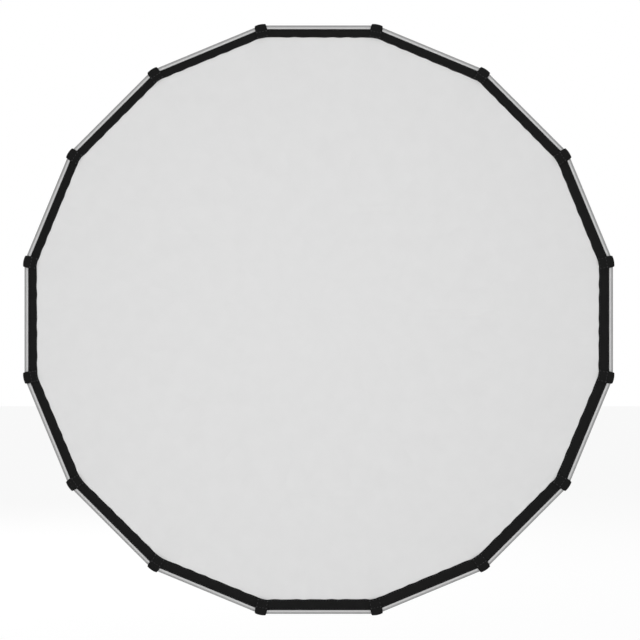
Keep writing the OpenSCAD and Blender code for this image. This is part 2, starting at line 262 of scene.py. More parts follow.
def loose_solids(node):
    """The separate solids of a CAD node, each as its points and faces."""
    shape = bmesh.new()
    shape.from_mesh(node.data)
    bmesh.ops.remove_doubles(shape, verts=shape.verts, dist=0.00001)
    shape.verts.index_update()
    owner = [-1] * len(shape.verts)
    count = 0
    for seed in shape.verts:
        if owner[seed.index] >= 0:
            continue
        owner[seed.index] = count
        waiting = [seed]
        while waiting:
            for edge in waiting.pop().link_edges:
                for vertex in edge.verts:
                    if owner[vertex.index] < 0:
                        owner[vertex.index] = count
                        waiting.append(vertex)
        count += 1
    solids = []
    for number in range(count):
        members = [v for v in shape.verts if owner[v.index] == number]
        new_index = {v.index: k for k, v in enumerate(members)}
        faces = [
            [new_index[v.index] for v in face.verts]
            for face in shape.faces if owner[face.verts[0].index] == number
        ]
        if faces:
            solids.append(([v.co.copy() for v in members], faces))
    shape.free()
    return solids


hard_edge = math.radians(35)
cloth_edge = math.radians(50)


def new_piece(name, points, faces, materials):
    """A mesh object in the scene, smooth but for its sharp edges."""
    mesh = bpy.data.meshes.new(name)
    mesh.from_pydata([tuple(p) for p in points], [], faces)
    for material in materials:
        mesh.materials.append(material)
    mesh.shade_smooth()
    mesh.set_sharp_from_angle(angle=hard_edge)
    piece = bpy.data.objects.new(name, mesh)
    bpy.context.scene.collection.objects.link(piece)
    return piece


drawn_steel, tree, shader = finish_of("drawn_spring_steel", "#7C7F84", 0.3, Metallic=1.0)
place = add(tree, "ShaderNodeTexCoord").outputs["Object"]
draw_marks = add(tree, "ShaderNodeTexNoise", {"Vector": place, "Scale": 1 / 0.004, "Detail": 5.0})
worn = add(
    tree, "ShaderNodeMapRange",
    {"Value": draw_marks.outputs["Fac"], "From Min": 0.3, "From Max": 0.7, "To Min": 0.24, "To Max": 0.42},
)
tree.links.new(worn.outputs["Result"], shader.inputs["Roughness"])

foot_reach = 0.12
cap_length = 0.030
strap_half = 0.008
for k, number in enumerate(numbers):
    to_local = standing(rib_azimuth(k)).inverted()
    for points, faces in loose_solids(frame["nodes"][f"rib_{number}"]):
        local = np.array([to_local @ p for p in points])
        low, high = local.min(0), local.max(0)
        if high[1] > strap_half:
            continue  # the plain strap, which the sewn pocket below replaces
        if high[0] < foot_reach:
            part, material, slot = "rib_foot", glass_nylon, "hub_plastic"
        elif high[2] - low[2] < cap_length:
            part, material, slot = "tip_cap", glass_nylon, "hub_plastic"
        else:
            part, material, slot = "rib_rod", drawn_steel, "rib_steel"
        piece = new_piece(f"{part}_{number}", points, faces, [material])
        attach(piece, f"rib_{number}")
        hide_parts(f"rib_{number}")

# ---------------------------------------------------------------------------------------------
# Bowl: sixteen gores of black nylon with a silver lining, sewn together along the ribs. The
# stretched cloth draws a few millimetres inward between its ribs and puckers along the seams.
fold_joint = next(j for j in frame["joints"] if j["name"] == "fold")
pivot_r = math.hypot(fold_joint["pos_m"][0], fold_joint["pos_m"][2])
pivot_z = -fold_joint["pos_m"][1]
across_corners = 0.900
piping_d = 0.006
shell_out = 0.0048
shell_t = 0.001
rod_bow = 0.034
rod_plane_z = rim_z - 0.0001

# The rod is an arc: x is its distance from the axis, y its distance forward
rod_rim_r = across_corners / 2 - piping_d / 2 - shell_out
run = rod_rim_r - pivot_r
depth = rod_plane_z - pivot_z
chord = math.hypot(run, depth)
lean = math.atan2(run, depth)
arc_r = (chord ** 2 / 4 + rod_bow ** 2) / (2 * rod_bow)
arc_half = math.asin(chord / 2 / arc_r)
arc_centre = (
    pivot_r + run / 2 - (arc_r - rod_bow) * math.cos(lean),
    pivot_z + depth / 2 + (arc_r - rod_bow) * math.sin(lean),
)
arc_start = -lean - arc_half
arc_length = 2 * arc_half * arc_r
gore_start = 0.0204
gore_end = arc_length - 0.0015
gore_sag = 0.005
pucker_depth = 0.0004
pucker_pitch = 0.016

# Threads in such cloth are taken to be some 0.3 mm apart, an estimate: drawn coarser, to show close up
cloth_pitch = 0.0011
nylon_cloth, tree, shader = finish_of(
    "black_nylon_cloth", "#121213", 0.6, IOR=1.53,
    **{"Specular IOR Level": 0.16, "Sheen Weight": 0.04, "Sheen Roughness": 0.4},
    **{"Sheen Tint": linear("#8C8C90")},
)
flat = add(tree, "ShaderNodeUVMap", uv_map="cloth").outputs["UV"]
warp = add(tree, "ShaderNodeTexWave", {"Vector": flat, "Scale": WAVE / cloth_pitch}, bands_direction="X")
weft = add(tree, "ShaderNodeTexWave", {"Vector": flat, "Scale": WAVE / cloth_pitch}, bands_direction="Y")
weave = add(tree, "ShaderNodeMath", {0: warp.outputs["Fac"], 1: weft.outputs["Fac"]}, operation="MULTIPLY")
clouds = add(tree, "ShaderNodeTexNoise", {"Vector": flat, "Scale": 1 / 0.05, "Detail": 5.0})
tint = add(tree, "ShaderNodeMix", {
    "Factor": clouds.outputs["Fac"], "A": linear("#0F0F10"), "B": linear("#171718"),
}, data_type="RGBA")
relief = add(tree, "ShaderNodeBump", {"Height": weave.outputs["Value"], "Strength": 0.3, "Distance": 0.0002})
tree.links.new(tint.outputs["Result"], shader.inputs["Base Color"])
tree.links.new(relief.outputs["Normal"], shader.inputs["Normal"])

pebble_size = 0.0022
silver_cloth, tree, shader = finish_of("silver_coated_lining", "#C9CBCD", 0.36, Metallic=0.9)
flat = add(tree, "ShaderNodeUVMap", uv_map="cloth").outputs["UV"]
pebbles = add(tree, "ShaderNodeTexVoronoi", {"Vector": flat, "Scale": 1 / pebble_size}, feature="SMOOTH_F1")
clouds = add(tree, "ShaderNodeTexNoise", {"Vector": flat, "Scale": 1 / 0.04, "Detail": 4.0})
worn = add(
    tree, "ShaderNodeMapRange",
    {"Value": clouds.outputs["Fac"], "From Min": 0.3, "From Max": 0.7, "To Min": 0.3, "To Max": 0.46},
)
relief = add(tree, "ShaderNodeBump", {
    "Height": pebbles.outputs["Distance"], "Strength": 0.35, "Distance": 0.0003,
})
tree.links.new(worn.outputs["Result"], shader.inputs["Roughness"])
tree.links.new(relief.outputs["Normal"], shader.inputs["Normal"])


def settle(piece):
    """Turns what a piece's modifiers make into its own plain mesh."""
    graph = bpy.context.evaluated_depsgraph_get()
    made = bpy.data.meshes.new_from_object(
        piece.evaluated_get(graph), preserve_all_data_layers=True, depsgraph=graph
    )
    piece.modifiers.clear()
    piece.data = made


def set_inputs(modifier, values):
    """Sets a Geometry Nodes modifier's inputs by their sockets' identifiers."""
    for item in modifier.node_group.interface.items_tree:
        if item.in_out == "INPUT" and item.name in values:
            modifier[item.identifier] = values[item.name]


# The rule of a gore: straight across from rib to rib, an arc along the ribs, and drawn in between
gore_rule = bpy.data.node_groups.new("gore_rule", "GeometryNodeTree")
gore_rule.interface.new_socket("Geometry", in_out="OUTPUT", socket_type="NodeSocketGeometry")
for name in ("Arc Radius", "Centre Out", "Centre Forward", "Start Angle", "Sweep", "Half Pitch",
             "Sag", "Pucker Depth", "Pucker Pitch", "Phase"):
    gore_rule.interface.new_socket(name, in_out="INPUT", socket_type="NodeSocketFloat")
for name in ("Across", "Along"):
    gore_rule.interface.new_socket(name, in_out="INPUT", socket_type="NodeSocketInt")
gore_rule.interface.new_socket("Cloth", in_out="INPUT", socket_type="NodeSocketMaterial")
given = add(gore_rule, "NodeGroupInput").outputs
grid = add(
    gore_rule, "GeometryNodeMeshGrid",
    {"Size X": 2.0, "Size Y": 1.0, "Vertices X": given["Across"], "Vertices Y": given["Along"]},
)
spot = add(gore_rule, "ShaderNodeSeparateXYZ", {0: add(gore_rule, "GeometryNodeInputPosition").outputs[0]})
across = spot.outputs["X"]
along = add(gore_rule, "ShaderNodeMath", {0: spot.outputs["Y"], 1: 0.5}, operation="ADD").outputs[0]
angle = add(gore_rule, "ShaderNodeMath", {
    0: along, 1: given["Sweep"], 2: given["Start Angle"],
}, operation="MULTIPLY_ADD").outputs[0]
back_angle = add(gore_rule, "ShaderNodeMath", {0: angle, 1: -1.0}, operation="MULTIPLY").outputs[0]
turns = add(gore_rule, "ShaderNodeMath", {0: along, 1: math.pi}, operation="MULTIPLY").outputs[0]
belly = add(gore_rule, "ShaderNodeMath", {0: turns}, operation="SINE").outputs[0]
wide = add(gore_rule, "ShaderNodeMath", {0: across, 1: across}, operation="MULTIPLY").outputs[0]
middle = add(gore_rule, "ShaderNodeMath", {0: 1.0, 1: wide}, operation="SUBTRACT").outputs[0]
drawn = add(gore_rule, "ShaderNodeMath", {0: belly, 1: middle}, operation="MULTIPLY").outputs[0]
drawn = add(gore_rule, "ShaderNodeMath", {0: drawn, 1: given["Sag"]}, operation="MULTIPLY").outputs[0]
# Puckers run in from the seams and die away towards the middle
edge = add(gore_rule, "ShaderNodeMath", {0: wide, 1: 5.0}, operation="POWER").outputs[0]
length = add(
    gore_rule, "ShaderNodeMath", {0: given["Arc Radius"], 1: given["Sweep"]}, operation="MULTIPLY"
).outputs[0]
distance = add(gore_rule, "ShaderNodeMath", {0: along, 1: length}, operation="MULTIPLY").outputs[0]
uneven = add(
    gore_rule, "ShaderNodeTexNoise", {"W": distance, "Scale": 1 / 0.045, "Detail": 1.0}, noise_dimensions="1D"
).outputs[0]
shifted = add(
    gore_rule, "ShaderNodeMath", {0: uneven, 1: 9.0, 2: given["Phase"]}, operation="MULTIPLY_ADD"
).outputs[0]
count = add(
    gore_rule, "ShaderNodeMath", {0: distance, 1: given["Pucker Pitch"]}, operation="DIVIDE"
).outputs[0]
ripple = add(
    gore_rule, "ShaderNodeMath", {0: count, 1: 2 * math.pi, 2: shifted}, operation="MULTIPLY_ADD"
).outputs[0]
ripple = add(gore_rule, "ShaderNodeMath", {0: ripple}, operation="SINE").outputs[0]
pucker = add(gore_rule, "ShaderNodeMath", {0: ripple, 1: edge}, operation="MULTIPLY").outputs[0]
pucker = add(
    gore_rule, "ShaderNodeMath", {0: pucker, 1: given["Pucker Depth"]}, operation="MULTIPLY"
).outputs[0]
inward = add(gore_rule, "ShaderNodeMath", {0: drawn, 1: pucker}, operation="SUBTRACT").outputs[0]
reach, pull = [
    add(gore_rule, "ShaderNodeVectorRotate", {
        "Vector": add(gore_rule, "ShaderNodeCombineXYZ", {"X": far}).outputs[0], "Angle": back_angle,
    }, rotation_type="Y_AXIS").outputs[0]
    for far in (given["Arc Radius"], inward)
]
centre = add(
    gore_rule, "ShaderNodeCombineXYZ", {"X": given["Centre Out"], "Z": given["Centre Forward"]}
).outputs[0]
on_rib = add(gore_rule, "ShaderNodeVectorMath", {0: reach, 1: centre}, operation="ADD").outputs[0]
rib_x = add(gore_rule, "ShaderNodeSeparateXYZ", {0: on_rib}).outputs
cosine = add(gore_rule, "ShaderNodeMath", {0: given["Half Pitch"]}, operation="COSINE").outputs[0]
sine = add(gore_rule, "ShaderNodeMath", {0: given["Half Pitch"]}, operation="SINE").outputs[0]
outward = add(gore_rule, "ShaderNodeMath", {0: rib_x["X"], 1: cosine}, operation="MULTIPLY").outputs[0]
half_width = add(gore_rule, "ShaderNodeMath", {0: rib_x["X"], 1: sine}, operation="MULTIPLY").outputs[0]
sideways = add(gore_rule, "ShaderNodeMath", {0: half_width, 1: across}, operation="MULTIPLY").outputs[0]
taut = add(gore_rule, "ShaderNodeCombineXYZ", {"X": outward, "Y": sideways, "Z": rib_x["Z"]}).outputs[0]
final = add(gore_rule, "ShaderNodeVectorMath", {0: taut, 1: pull}, operation="SUBTRACT").outputs[0]
cut = add(gore_rule, "ShaderNodeCombineXYZ", {"X": sideways, "Y": distance}).outputs[0]
mapped = add(
    gore_rule, "GeometryNodeStoreNamedAttribute",
    {"Geometry": grid.outputs["Mesh"], "Name": "cloth", "Value": cut}, data_type="FLOAT2", domain="CORNER",
)
shaped = add(
    gore_rule, "GeometryNodeSetPosition", {"Geometry": mapped.outputs["Geometry"], "Position": final}
)
real = add(gore_rule, "GeometryNodeRealizeInstances", {"Geometry": shaped.outputs["Geometry"]})
painted = add(
    gore_rule, "GeometryNodeSetMaterial", {"Geometry": real.outputs["Geometry"], "Material": given["Cloth"]}
)
add(gore_rule, "NodeGroupOutput", {"Geometry": painted.outputs["Geometry"]})

gore_sweep = (gore_end - gore_start) / arc_r
gore_length = gore_end - gore_start
for k, number in enumerate(numbers):
    gore = new_piece(f"gore_cloth_{number}", [], [], [nylon_cloth, silver_cloth])
    rule = gore.modifiers.new("rule", "NODES")
    rule.node_group = gore_rule
    set_inputs(rule, {
        "Arc Radius": arc_r + shell_out, "Centre Out": arc_centre[0], "Centre Forward": arc_centre[1],
        "Start Angle": arc_start + gore_start / arc_r, "Sweep": gore_sweep, "Half Pitch": half_pitch,
        "Sag": gore_sag, "Pucker Depth": pucker_depth, "Pucker Pitch": pucker_pitch, "Phase": 2.4 * k,
        "Across": 25, "Along": 150, "Cloth": nylon_cloth,
    })
    settle(gore)
    gore.data.transform(standing(side_azimuth(k)))
    if len(gore.data.materials) < 2:
        gore.data.materials.append(silver_cloth)
    wall = gore.modifiers.new("lining", "SOLIDIFY")
    wall.thickness = shell_t
    wall.offset = -1
    wall.material_offset = 1
    settle(gore)
    gore.data.shade_smooth()
    gore.data.set_sharp_from_angle(angle=cloth_edge)
    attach(gore, f"gore_{number}")
    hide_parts(f"gore_{number}")
    sideways = side_direction(k)
    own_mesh(gore)

# ---------------------------------------------------------------------------------------------
# Rib tapes: black polyester tape sewn over each seam of the bowl, from the neck to the rim, so
# that the seam doesn't chafe. It lies folded over the ridge, with a row of stitches on each edge.


def rib_point(s, offset):
    """A point in the plane of a rib, at a distance along the rod and outward from it."""
    a = arc_start + s / arc_r
    return arc_centre[0] + (arc_r + offset) * math.cos(a), arc_centre[1] + (arc_r + offset) * math.sin(a)


def bowl_point(s, aside, offset):
    """A point on the bowl near a rib, aside from its seam, as (outward, sideways, forward)."""
    a = arc_start + s / arc_r
    out, forward = rib_point(s, offset)
    half = out * math.sin(half_pitch)
    across = (half - abs(aside)) / half
    drawn = gore_sag * math.sin(math.pi * (s - gore_start) / gore_length) * (1 - across ** 2)
    normal_out = out * math.cos(half_pitch) - drawn * math.cos(a)
    along_side = half - abs(aside)
    r = normal_out * math.cos(half_pitch) + along_side * math.sin(half_pitch)
    t = normal_out * math.sin(half_pitch) - along_side * math.cos(half_pitch)
    return r, math.copysign(t, aside), forward - drawn * math.sin(a)


def new_strip(name, points, flat_map, materials, closed=False, ends=False):
    """A sheet through rows of points, with its flat map in metres; closed joins its long edges."""
    rows, columns = len(points), len(points[0])
    last = columns if closed else columns - 1
    faces = []
    for r in range(rows - 1):
        for c in range(last):
            d = (c + 1) % columns
            faces.append((r * columns + c, r * columns + d, (r + 1) * columns + d, (r + 1) * columns + c))
    if ends:
        faces += [range(columns), range((rows - 1) * columns, rows * columns)]
    piece = new_piece(name, [p for row in points for p in row], faces, materials)
    layer = piece.data.uv_layers.new(name="cloth")
    for r in range(rows - 1):
        for c in range(last):
            corners = (r * last + c) * 4
            for step, (dr, dc) in enumerate(((0, 0), (0, 1), (1, 1), (1, 0))):
                layer.data[corners + step].uv = flat_map(r + dr, c + dc)
    return piece


def turn_out(piece):
    """Joins a closed piece's seams and turns its faces outward."""
    shape = bmesh.new()
    shape.from_mesh(piece.data)
    bmesh.ops.remove_doubles(shape, verts=shape.verts, dist=0.00001)
    bmesh.ops.recalc_face_normals(shape, faces=shape.faces)
    shape.to_mesh(piece.data)
    shape.free()
    piece.data.shade_smooth()
    piece.data.set_sharp_from_angle(angle=cloth_edge)


def thicken(piece, thickness):
    """Gives a sheet its thickness, half to each side."""
    wall = piece.modifiers.new("thickness", "SOLIDIFY")
    wall.thickness = thickness
    wall.offset = 0
    settle(piece)
    piece.data.shade_smooth()
    piece.data.set_sharp_from_angle(angle=cloth_edge)


# The ribs of such tape are taken to be some 1 mm apart, an estimate: drawn coarser, to show close up
rib_pitch = 0.0014
woven_tape, tree, shader = finish_of(
    "ribbed_polyester_tape", "#131313", 0.7, IOR=1.5,
    **{"Specular IOR Level": 0.1, "Sheen Weight": 0.03, "Sheen Roughness": 0.5},
    **{"Sheen Tint": linear("#909094")},
)
flat = add(tree, "ShaderNodeUVMap", uv_map="cloth").outputs["UV"]
cords = add(tree, "ShaderNodeTexWave", {
    "Vector": flat, "Scale": WAVE / rib_pitch, "Distortion": 0.6, "Detail": 1.0,
}, bands_direction="Y")
ends = add(tree, "ShaderNodeTexWave", {"Vector": flat, "Scale": WAVE / (rib_pitch / 2)}, bands_direction="X")
weave = add(tree, "ShaderNodeMath", {
    0: ends.outputs["Fac"], 1: 0.35, 2: cords.outputs["Fac"],
}, operation="MULTIPLY_ADD")
clouds = add(tree, "ShaderNodeTexNoise", {"Vector": flat, "Scale": 1 / 0.012, "Detail": 4.0})
tint = add(tree, "ShaderNodeMix", {
    "Factor": clouds.outputs["Fac"], "A": linear("#0A0A0A"), "B": linear("#151515"),
}, data_type="RGBA")
relief = add(tree, "ShaderNodeBump", {"Height": weave.outputs["Value"], "Strength": 0.5, "Distance": 0.0003})
tree.links.new(tint.outputs["Result"], shader.inputs["Base Color"])
tree.links.new(relief.outputs["Normal"], shader.inputs["Normal"])

tape_t = 0.0008
tape_lift = shell_out + 0.0007
tape_start = 0.027
tape_rows = 110
tape_aside = [-0.0125, -0.011, -0.007, -0.003, -0.0008, 0.0008, 0.003, 0.007, 0.011, 0.0125]
tape_s = np.linspace(tape_start, gore_end - 0.003, tape_rows)
for k, number in enumerate(numbers):
    rows = [[bowl_point(s, aside, tape_lift) for aside in tape_aside] for s in tape_s]
    tape = new_strip(
        f"rib_tape_{number}", rows, lambda r, c: (tape_aside[c], tape_s[r]), [woven_tape]
    )
    tape.data.transform(standing(rib_azimuth(k)))
    thicken(tape, tape_t)
    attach(tape, f"rib_{number}")

# ---------------------------------------------------------------------------------------------
# Stitches: lockstitch in black bonded polyester thread. A row is a thin line of short raised
# stitches, a little lighter than the cloth that it pulls down.
stitch_rule = bpy.data.node_groups.new("stitch_rule", "GeometryNodeTree")
stitch_rule.interface.new_socket("Geometry", in_out="OUTPUT", socket_type="NodeSocketGeometry")
stitch_rule.interface.new_socket("Geometry", in_out="INPUT", socket_type="NodeSocketGeometry")
for name in ("Pitch", "Stitch Length", "Thread Diameter"):
    stitch_rule.interface.new_socket(name, in_out="INPUT", socket_type="NodeSocketFloat")
stitch_rule.interface.new_socket("Thread", in_out="INPUT", socket_type="NodeSocketMaterial")
given = add(stitch_rule, "NodeGroupInput").outputs
row = add(stitch_rule, "GeometryNodeMeshToCurve", {"Mesh": given["Geometry"]})
spaced = add(stitch_rule, "GeometryNodeResampleCurve", {
    "Curve": row.outputs["Curve"], "Length": given["Pitch"],
}, mode="LENGTH")
loop_of_thread = add(stitch_rule, "GeometryNodeMeshUVSphere", {"Segments": 5, "Rings": 5, "Radius": 0.5})
lying = add(
    stitch_rule, "FunctionNodeAlignRotationToVector",
    {"Vector": add(stitch_rule, "GeometryNodeInputTangent").outputs[0]}, axis="X",
)
size = add(
    stitch_rule, "ShaderNodeCombineXYZ",
    {"X": given["Stitch Length"], "Y": given["Thread Diameter"], "Z": given["Thread Diameter"]},
)
placed = add(stitch_rule, "GeometryNodeInstanceOnPoints", {
    "Points": spaced.outputs["Curve"], "Instance": loop_of_thread.outputs["Mesh"],
    "Rotation": lying.outputs["Rotation"], "Scale": size.outputs[0],
})
real = add(stitch_rule, "GeometryNodeRealizeInstances", {"Geometry": placed.outputs["Instances"]})
painted = add(stitch_rule, "GeometryNodeSetMaterial", {
    "Geometry": real.outputs["Geometry"], "Material": given["Thread"],
})
add(stitch_rule, "NodeGroupOutput", {"Geometry": painted.outputs["Geometry"]})

ply_pitch = 0.0006
black_thread, tree, shader = finish_of(
    "bonded_polyester_thread", "#2B2B2C", 0.45, IOR=1.55,
    **{"Specular IOR Level": 0.3, "Sheen Weight": 0.1, "Sheen Roughness": 0.4},
    **{"Sheen Tint": linear("#A0A0A4")},
)
place = add(tree, "ShaderNodeTexCoord").outputs["Object"]
plies = add(tree, "ShaderNodeTexNoise", {"Vector": place, "Scale": 1 / ply_pitch, "Detail": 2.0})
tint = add(tree, "ShaderNodeMix", {
    "Factor": plies.outputs["Fac"], "A": linear("#1C1C1D"), "B": linear("#333335"),
}, data_type="RGBA")
tree.links.new(tint.outputs["Result"], shader.inputs["Base Color"])

stitch_pitch = 0.0042
stitch_length = 0.0034
# Such thread is taken to be some 0.4 mm thick, an estimate: drawn thicker, to show close up
thread_d = 0.0007


def sewn(name, rows, azimuth):
    """Rows of stitches along lines of (outward, sideways, forward) points."""
    points, edges = [], []
    for row in rows:
        first = len(points)
        points += [tuple(p) for p in row]
        edges += [(first + n, first + n + 1) for n in range(len(row) - 1)]
    mesh = bpy.data.meshes.new(name)
    mesh.from_pydata(points, edges, [])
    mesh.transform(standing(azimuth))
    piece = bpy.data.objects.new(name, mesh)
    bpy.context.scene.collection.objects.link(piece)
    rule = piece.modifiers.new("rule", "NODES")
    rule.node_group = stitch_rule
    set_inputs(rule, {
        "Pitch": stitch_pitch, "Stitch Length": stitch_length,
        "Thread Diameter": thread_d, "Thread": black_thread,
    })
    settle(piece)
    piece.data.shade_smooth()
    return piece


stitch_lift = tape_lift + tape_t / 2 + 0.0001
stitch_aside = 0.0098
for k, number in enumerate(numbers):
    rows = [
        [bowl_point(s, aside, stitch_lift) for s in tape_s[::2]] for aside in (-stitch_aside, stitch_aside)
    ]
    thread = sewn(f"tape_stitches_{number}", rows, rib_azimuth(k))
    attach(thread, f"rib_{number}")

# ---------------------------------------------------------------------------------------------
# Rod sleeves: a strip of the silver lining sewn down inside each seam, with the rod pushed up
# the tunnel under it.
sleeve_t = 0.0005
tunnel_line = [(-0.0038, 0.0006), (-0.0029, -0.0018), (0, -0.0032), (0.0029, -0.0018), (0.0038, 0.0006)]
wing_aside = (0.0058, 0.0090)
wing_offset = shell_out - shell_t - 0.0004
sleeve_s = np.linspace(0.045, arc_length - 0.030, 80)
for k, number in enumerate(numbers):
    rows = []
    for s in sleeve_s:
        tunnel = [(rib_point(s, offset), aside) for aside, offset in tunnel_line]
        rows.append([
            *(bowl_point(s, -aside, wing_offset) for aside in reversed(wing_aside)),
            *((out, aside, forward) for (out, forward), aside in tunnel),
            *(bowl_point(s, aside, wing_offset) for aside in wing_aside),
        ])
    sleeve = new_strip(f"rod_sleeve_{number}", rows, lambda r, c: (c * 0.0027, sleeve_s[r]), [silver_cloth])
    sleeve.data.transform(standing(rib_azimuth(k)))
    thicken(sleeve, sleeve_t)
    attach(sleeve, f"rib_{number}")

# ---------------------------------------------------------------------------------------------
# Neck: each gore ends in a hem of doubled nylon that runs down over the hub's rim, and one webbing
# band, pulled tight and sewn, binds all the hems to the hub.
neck_t = 0.0008
binding_low, binding_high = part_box("neck_binding")
binding_back, binding_front = -binding_high.y, -binding_low.y
binding_r = binding_high.x
neck_lift = shell_out + 0.0007
hem_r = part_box("hub_base")[1].x + 0.0006
neck_line = [
    (hem_r, binding_back + 0.0005, 1.0),
    (hem_r, binding_front - 0.0005, 1.0),
    (hem_r + 0.0009, binding_front + 0.0014, 0.8),
    (*rib_point(gore_start, neck_lift), 0.3),
    (*rib_point(gore_start + 0.0025, neck_lift), 0.0),
    (*rib_point(gore_start + 0.0055, neck_lift), 0.0),
]
neck_across = np.linspace(-1, 1, 17)
neck_half = 0.020
neck_rise = 0.003
for k, number in enumerate(numbers):
    rows = []
    for out, forward, roundness in neck_line:
        row = []
        for u in neck_across:
            bend = u * half_pitch
            on_circle = np.array((out * math.cos(bend), out * math.sin(bend), forward))
            on_side = np.array((out * math.cos(half_pitch), u * out * math.sin(half_pitch), forward))
            row.append(roundness * on_circle + (1 - roundness) * on_side)
        rows.append(row)
    neck = new_strip(
        f"neck_hem_{number}", rows, lambda r, c: (neck_across[c] * neck_half, r * neck_rise), [nylon_cloth]
    )
    neck.data.transform(standing(side_azimuth(k)))
    smooth = neck.modifiers.new("smooth", "SUBSURF")
    smooth.levels = smooth.render_levels = 1
    settle(neck)
    thicken(neck, neck_t)
    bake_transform(neck)

band_turns = 192
band_line = [
    (0.0, 0.15), (0.25, 0.0), (0.9, 0.0), (1.0, 0.3), (1.0, 0.7), (0.9, 1.0), (0.25, 1.0), (0.0, 0.85),
]
band_t = 0.0012
rows = []
for step in range(band_turns):
    bend = 2 * math.pi * step / band_turns
    row = []
    for depth_share, height in band_line:
        out = hem_r + 0.0005 + depth_share * band_t
        forward = binding_back + height * (binding_front - binding_back)
        row.append((out * math.cos(bend), out * math.sin(bend), forward))
    rows.append(row)
rows.append(rows[0])
band = new_strip(
    "neck_band", rows, lambda r, c: (c * 0.001, r / band_turns * 2 * math.pi * binding_r), [woven_tape],
    closed=True,
)
band.data.transform(standing(0))
turn_out(band)
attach(band, "hub")
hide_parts("neck_binding")

# ---------------------------------------------------------------------------------------------
# Piping: a grey cotton-polyester cord binding sewn round the rim, one length that turns each
# corner under a pocket. Its cover is a twill with painted light and shade: lighter on the half of the cord
# that faces forward and inward, darker round its outer side and back.
piping_mid = across_corners / 2 * math.cos(half_pitch) - piping_d / 2
# The lines of such twill are taken to be some 1 mm apart, an estimate: drawn coarser, to show close up
twill_pitch = 0.0018
piping_cloth, tree, shader = finish_of(
    "twill_piping", "#B9B9B9", 0.75, IOR=1.5, **{"Specular IOR Level": 0.2}
)
flat = add(tree, "ShaderNodeUVMap", uv_map="cloth").outputs["UV"]
round_it = add(tree, "ShaderNodeSeparateXYZ", {0: flat}).outputs["X"]
# Painted shade: around the cord, the forward and inward half gets a lighter grey and the outer side and back
# a darker grey, as light from the front would fall on a round cord.
painted_shade_share = add(
    tree, "ShaderNodeMapRange",
    {"Value": round_it, "From Min": 0.0036, "From Max": 0.0052, "To Min": 0.0, "To Max": 1.0},
    interpolation_type="SMOOTHSTEP",
)
slope = add(tree, "ShaderNodeMapping", {"Vector": flat, "Rotation": (0, 0, math.radians(35))})
twill = add(tree, "ShaderNodeTexWave", {"Vector": slope.outputs["Vector"], "Scale": WAVE / twill_pitch,
                                        "Distortion": 0.8, "Detail": 1.0}, bands_direction="Y")
painted_lit_grey = add(tree, "ShaderNodeMix", {
    "Factor": twill.outputs["Fac"], "A": linear("#C6C6C6"), "B": linear("#D8D8D8"),
}, data_type="RGBA")
painted_shaded_grey = add(tree, "ShaderNodeMix", {
    "Factor": twill.outputs["Fac"], "A": linear("#989898"), "B": linear("#AEAEAE"),
}, data_type="RGBA")
tint = add(tree, "ShaderNodeMix", {
    "Factor": painted_shade_share.outputs["Result"], "A": painted_lit_grey.outputs["Result"], "B": painted_shaded_grey.outputs["Result"],
}, data_type="RGBA")
relief = add(tree, "ShaderNodeBump", {"Height": twill.outputs["Fac"], "Strength": 0.5, "Distance": 0.0003})
tree.links.new(tint.outputs["Result"], shader.inputs["Base Color"])
tree.links.new(relief.outputs["Normal"], shader.inputs["Normal"])
piping_turns = 16
piping_u = np.linspace(-1, 1, 61)
for k, number in enumerate(numbers):
    rows = []
    for u in piping_u:
        row = []
        for step in range(piping_turns):
            turn = 2 * math.pi * step / piping_turns
            out = piping_mid - piping_d / 2 * math.cos(turn)
            row.append((out, u * out * math.tan(half_pitch), rim_z - 0.0001 + piping_d / 2 * math.sin(turn)))
        rows.append(row)
    around = math.pi * piping_d / piping_turns
    reach = piping_mid * math.tan(half_pitch)
    cord = new_strip(
        f"piping_{number}", rows, lambda r, c: (c * around, piping_u[r] * reach), [piping_cloth],
        closed=True, ends=True,
    )
    cord.data.transform(standing(side_azimuth(k)))
    turn_out(cord)
    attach(cord, f"gore_{number}")
    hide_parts(f"gore_{number}")
    sideways = side_direction(k)
    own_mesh(cord)

# ---------------------------------------------------------------------------------------------
# Border: black ribbed tape that binds the front cloth to the rim, sewn through near both of its
# edges. The stitches pull a groove into it and leave the inner edge slightly wavy.
border_out = piping_mid - 0.0025
border_width = 0.0146
border_drift = 0.0023
drift_azimuth = math.radians(305)
border_back = rim_z + 0.0004
border_t = 0.0013
border_profile = [
    (0.00, 0.15), (0.02, 0.62), (0.06, 0.86), (0.09, 0.80), (0.12, 0.38), (0.16, 0.80), (0.24, 1.02),
    (0.50, 1.10), (0.76, 1.02), (0.84, 0.80), (0.88, 0.36), (0.91, 0.76), (0.95, 0.80), (0.98, 0.50),
    (1.00, 0.12), (0.96, 0.00), (0.50, 0.00), (0.04, 0.00),
]
border_u = np.linspace(-1, 1, 71)


def border_inner(azimuth):
    """Distance of the border's inner edge from the axis, square to its side."""
    bumps = 0.00028 * math.sin(101 * azimuth + 1.5 * math.sin(9 * azimuth))
    bumps += 0.00016 * math.sin(147 * azimuth + 2.0 * math.sin(5 * azimuth + 1))
    return border_out - border_width - border_drift * math.cos(azimuth - drift_azimuth) - bumps


